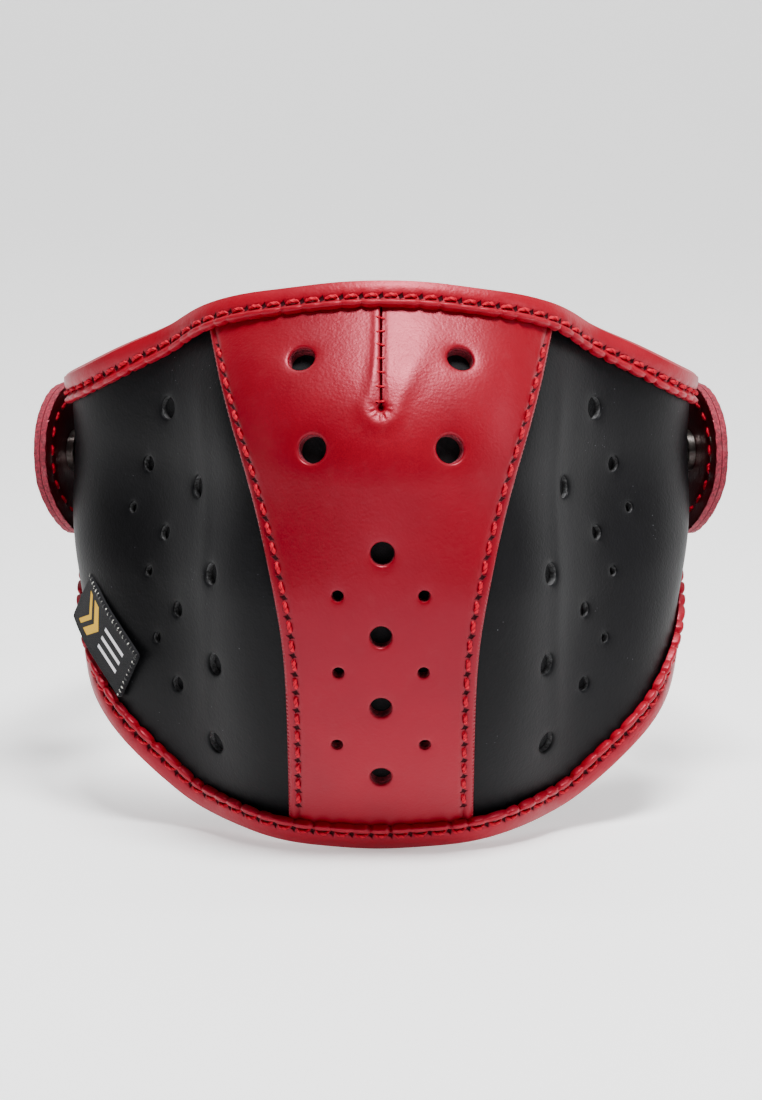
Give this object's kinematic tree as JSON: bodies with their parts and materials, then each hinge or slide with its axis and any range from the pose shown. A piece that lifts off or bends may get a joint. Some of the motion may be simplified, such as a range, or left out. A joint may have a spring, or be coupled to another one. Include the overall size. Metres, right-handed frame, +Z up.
{
  "type": "leather half-face mask",
  "caption": "Moulded leather half-face mask with a red centre panel, black side panels, folded red binding and an elastic rear band held by press studs.",
  "frame": {"origin": "midway between the centres of the two snaps, which is the axis the rear band swings about", "axes": "+Z up, the front of the mask faces -Y, +X to the right of somebody looking at the front"},
  "size_m": [0.1656, 0.1855, 0.1271],
  "materials": {
    "red_leather": "smooth dyed leather with a soft shine",
    "black_leather": "smooth black leather",
    "black_lining": "brushed lining cloth",
    "red_thread": "twisted waxed thread",
    "label_cloth": "woven label",
    "pale_thread": "overlock thread",
    "snap_metal": "dark nickel",
    "elastic": "woven elastic webbing"
  },
  "bodies": {
    "mask": {"centre_panel": "red_leather", "centre_backing": "red_leather", "top_binding": "red_leather", "bottom_binding": "red_leather", "left_rear_binding": "red_leather", "right_rear_binding": "red_leather", "left_side_panel": "black_leather", "right_side_panel": "black_leather", "centre_lining": "black_lining", "left_lining": "black_lining", "right_lining": "black_lining", "top_binding_stitches": "red_thread", "bottom_binding_stitches": "red_thread", "left_rear_binding_stitches": "red_thread", "right_rear_binding_stitches": "red_thread", "left_seam_stitches": "red_thread", "right_seam_stitches": "red_thread", "dart_stitches": "red_thread", "woven_label": "label_cloth", "label_stitches": "pale_thread", "left_snap_stud": "snap_metal", "left_snap_post": "snap_metal", "right_snap_stud": "snap_metal", "right_snap_post": "snap_metal"},
    "rear_band": {"rear_band": "elastic"},
    "left_tab": {"left_tab_inner_ply": "red_leather", "left_tab_outer_ply": "red_leather", "left_tab_stitches": "red_thread", "left_snap_socket": "snap_metal", "left_snap_cap": "snap_metal", "left_band_end": "elastic"},
    "right_tab": {"right_tab_inner_ply": "red_leather", "right_tab_outer_ply": "red_leather", "right_tab_stitches": "red_thread", "right_snap_socket": "snap_metal", "right_snap_cap": "snap_metal", "right_band_end": "elastic"}
  },
  "joints": [
    {"name": "band_swing", "type": "hinge", "parent": "mask", "child": "rear_band", "pos_m": [0, 0, 0], "axis": [1, 0, 0], "range_deg": [-16, 16]},
    {"name": "left_tab_open", "type": "hinge", "parent": "rear_band", "child": "left_tab", "pos_m": [-0.06308, 0.04587, 0], "axis": [0, 0, -1], "range_deg": [0, 60]},
    {"name": "right_tab_open", "type": "hinge", "parent": "rear_band", "child": "right_tab", "pos_m": [0.06308, 0.04587, 0], "axis": [0, 0, 1], "range_deg": [0, 60]}
  ]
}
